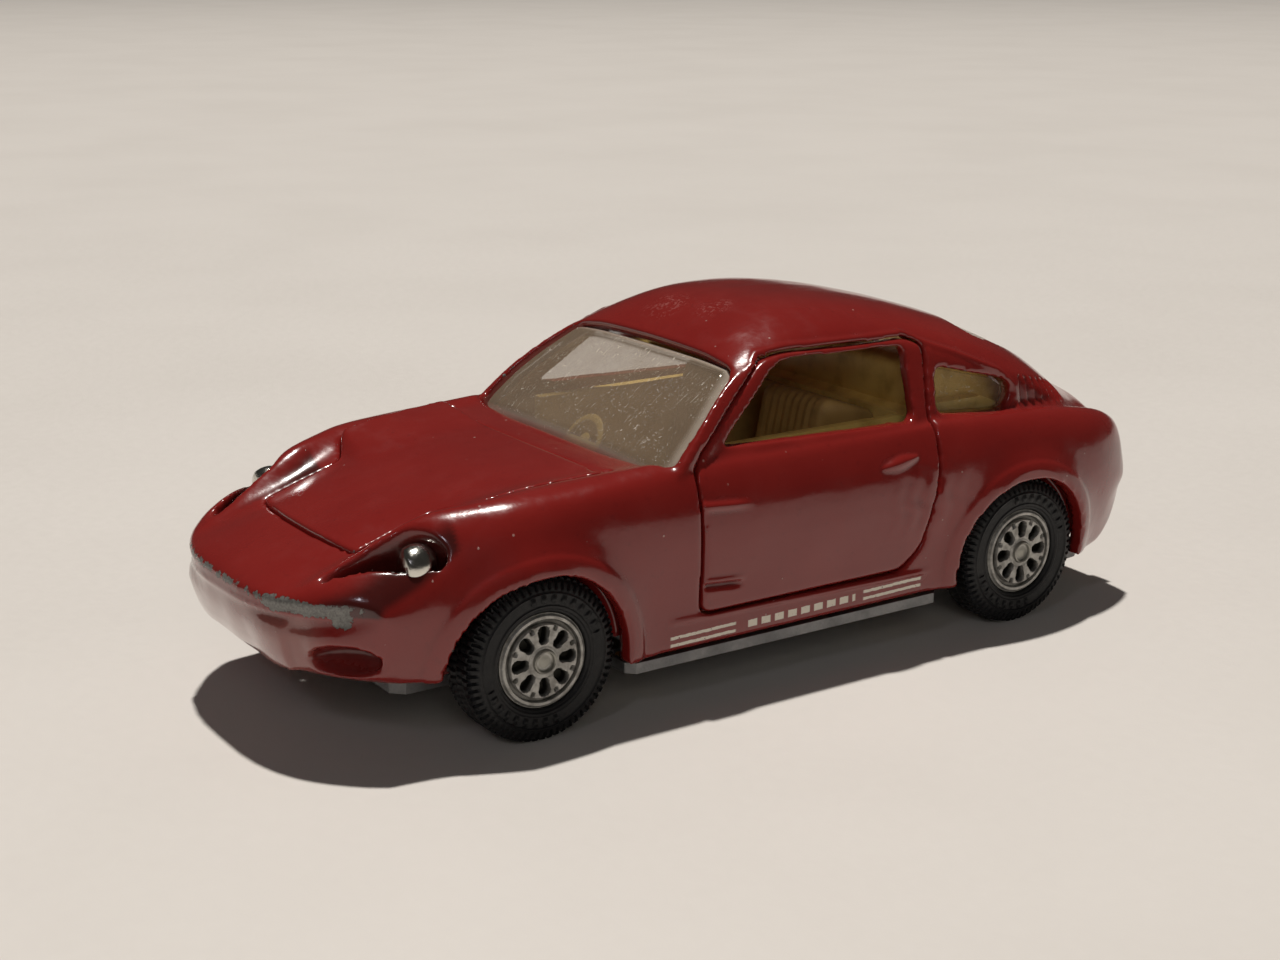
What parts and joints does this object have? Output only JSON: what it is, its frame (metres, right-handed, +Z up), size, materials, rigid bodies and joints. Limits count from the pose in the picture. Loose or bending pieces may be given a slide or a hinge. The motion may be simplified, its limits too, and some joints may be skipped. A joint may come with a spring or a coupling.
{
  "type": "die-cast model coupe",
  "caption": "Small die-cast model of a low fastback coupe with opening doors and bonnet, turning take-off wheels, clear windows and a moulded interior",
  "frame": {"origin": "on the surface it stands on, under the middle of the car's bounding box", "axes": "-Y is forward, +X is the car's left, +Z is up"},
  "size_m": [0.0368, 0.0868, 0.0305],
  "materials": {
    "maroon_enamel": "thick gloss enamel over cast zinc, worn and chipped",
    "maroon_enamel_door": "thick gloss enamel over cast zinc, worn and chipped",
    "maroon_enamel_bonnet": "thick gloss enamel over cast zinc, worn and chipped",
    "bare_zinc": "bare cast zinc, dull grey",
    "bright_plate": "bright plated",
    "plated_plastic": "bright plated plastic",
    "gold_wash": "gold washed metal",
    "cream_plastic": "cream yellow plastic, satin",
    "black_plastic": "black plastic, satin",
    "black_rubber": "black rubber, dull",
    "clear_plastic": "clear plastic, hazed with fine scratches",
    "red_plastic": "transparent red plastic",
    "cast_silver": "cast silver grey metal"
  },
  "bodies": {
    "chassis": {"body_shell": "maroon_enamel", "base_plate": "bare_zinc", "rivet_front": "bare_zinc", "rivet_rear": "bare_zinc", "windscreen": "clear_plastic", "rear_window": "clear_plastic", "quarter_light_left": "clear_plastic", "quarter_light_right": "clear_plastic", "interior_tub": "cream_plastic", "seat_left": "cream_plastic", "seat_right": "cream_plastic", "dashboard": "black_plastic", "steering_wheel": "cream_plastic", "engine_block": "plated_plastic", "air_cleaner": "black_plastic", "radiator": "black_plastic", "headlamp_left": "bright_plate", "headlamp_right": "bright_plate", "tail_lamp_left": "red_plastic", "tail_lamp_right": "red_plastic", "number_plate": "black_plastic"},
    "door_left": {"door_left": "maroon_enamel_door"},
    "door_right": {"door_right": "maroon_enamel_door"},
    "bonnet": {"bonnet": "maroon_enamel_bonnet"},
    "stub_front_left": {"stub_front_left": "gold_wash"},
    "wheel_front_left": {"hub_front_left": "cast_silver", "tyre_front_left": "black_rubber"},
    "jack_front_left": {"jack_front_left": "gold_wash"},
    "stub_front_right": {"stub_front_right": "gold_wash"},
    "wheel_front_right": {"hub_front_right": "cast_silver", "tyre_front_right": "black_rubber"},
    "jack_front_right": {"jack_front_right": "gold_wash"},
    "stub_rear_left": {"stub_rear_left": "gold_wash"},
    "wheel_rear_left": {"hub_rear_left": "cast_silver", "tyre_rear_left": "black_rubber"},
    "jack_rear_left": {"jack_rear_left": "gold_wash"},
    "stub_rear_right": {"stub_rear_right": "gold_wash"},
    "wheel_rear_right": {"hub_rear_right": "cast_silver", "tyre_rear_right": "black_rubber"},
    "jack_rear_right": {"jack_rear_right": "gold_wash"}
  },
  "joints": [
    {"name": "door_left_hinge", "type": "hinge", "parent": "chassis", "child": "door_left", "pos_m": [0.0175, -0.009, 0.015], "axis": [0, 0, -1], "range_deg": [0, 65]},
    {"name": "door_right_hinge", "type": "hinge", "parent": "chassis", "child": "door_right", "pos_m": [-0.0175, -0.009, 0.015], "axis": [0, 0, 1], "range_deg": [0, 65]},
    {"name": "bonnet_hinge", "type": "hinge", "parent": "chassis", "child": "bonnet", "pos_m": [0, -0.0163, 0.02], "axis": [-1, 0, 0], "range_deg": [0, 60]},
    {"name": "wheel_off_front_left", "type": "slide", "parent": "chassis", "child": "stub_front_left", "axis": [1, 0, 0], "range_m": [0, 0.009]},
    {"name": "wheel_spin_front_left", "type": "hinge", "parent": "stub_front_left", "child": "wheel_front_left", "pos_m": [0.0149, -0.0239, 0.00675], "axis": [1, 0, 0], "continuous": true},
    {"name": "jack_fold_front_left", "type": "hinge", "parent": "chassis", "child": "jack_front_left", "pos_m": [0.0141, -0.0146, 0.00415], "axis": [-1, 0, 0], "range_deg": [0, 90]},
    {"name": "wheel_off_front_right", "type": "slide", "parent": "chassis", "child": "stub_front_right", "axis": [-1, 0, 0], "range_m": [0, 0.009]},
    {"name": "wheel_spin_front_right", "type": "hinge", "parent": "stub_front_right", "child": "wheel_front_right", "pos_m": [-0.0149, -0.0239, 0.00675], "axis": [1, 0, 0], "continuous": true},
    {"name": "jack_fold_front_right", "type": "hinge", "parent": "chassis", "child": "jack_front_right", "pos_m": [-0.0141, -0.0146, 0.00415], "axis": [-1, 0, 0], "range_deg": [0, 90]},
    {"name": "wheel_off_rear_left", "type": "slide", "parent": "chassis", "child": "stub_rear_left", "axis": [1, 0, 0], "range_m": [0, 0.009]},
    {"name": "wheel_spin_rear_left", "type": "hinge", "parent": "stub_rear_left", "child": "wheel_rear_left", "pos_m": [0.0149, 0.0266, 0.00675], "axis": [1, 0, 0], "continuous": true},
    {"name": "jack_fold_rear_left", "type": "hinge", "parent": "chassis", "child": "jack_rear_left", "pos_m": [0.0141, 0.0169, 0.00415], "axis": [1, 0, 0], "range_deg": [0, 90]},
    {"name": "wheel_off_rear_right", "type": "slide", "parent": "chassis", "child": "stub_rear_right", "axis": [-1, 0, 0], "range_m": [0, 0.009]},
    {"name": "wheel_spin_rear_right", "type": "hinge", "parent": "stub_rear_right", "child": "wheel_rear_right", "pos_m": [-0.0149, 0.0266, 0.00675], "axis": [1, 0, 0], "continuous": true},
    {"name": "jack_fold_rear_right", "type": "hinge", "parent": "chassis", "child": "jack_rear_right", "pos_m": [-0.0141, 0.0169, 0.00415], "axis": [1, 0, 0], "range_deg": [0, 90]}
  ]
}
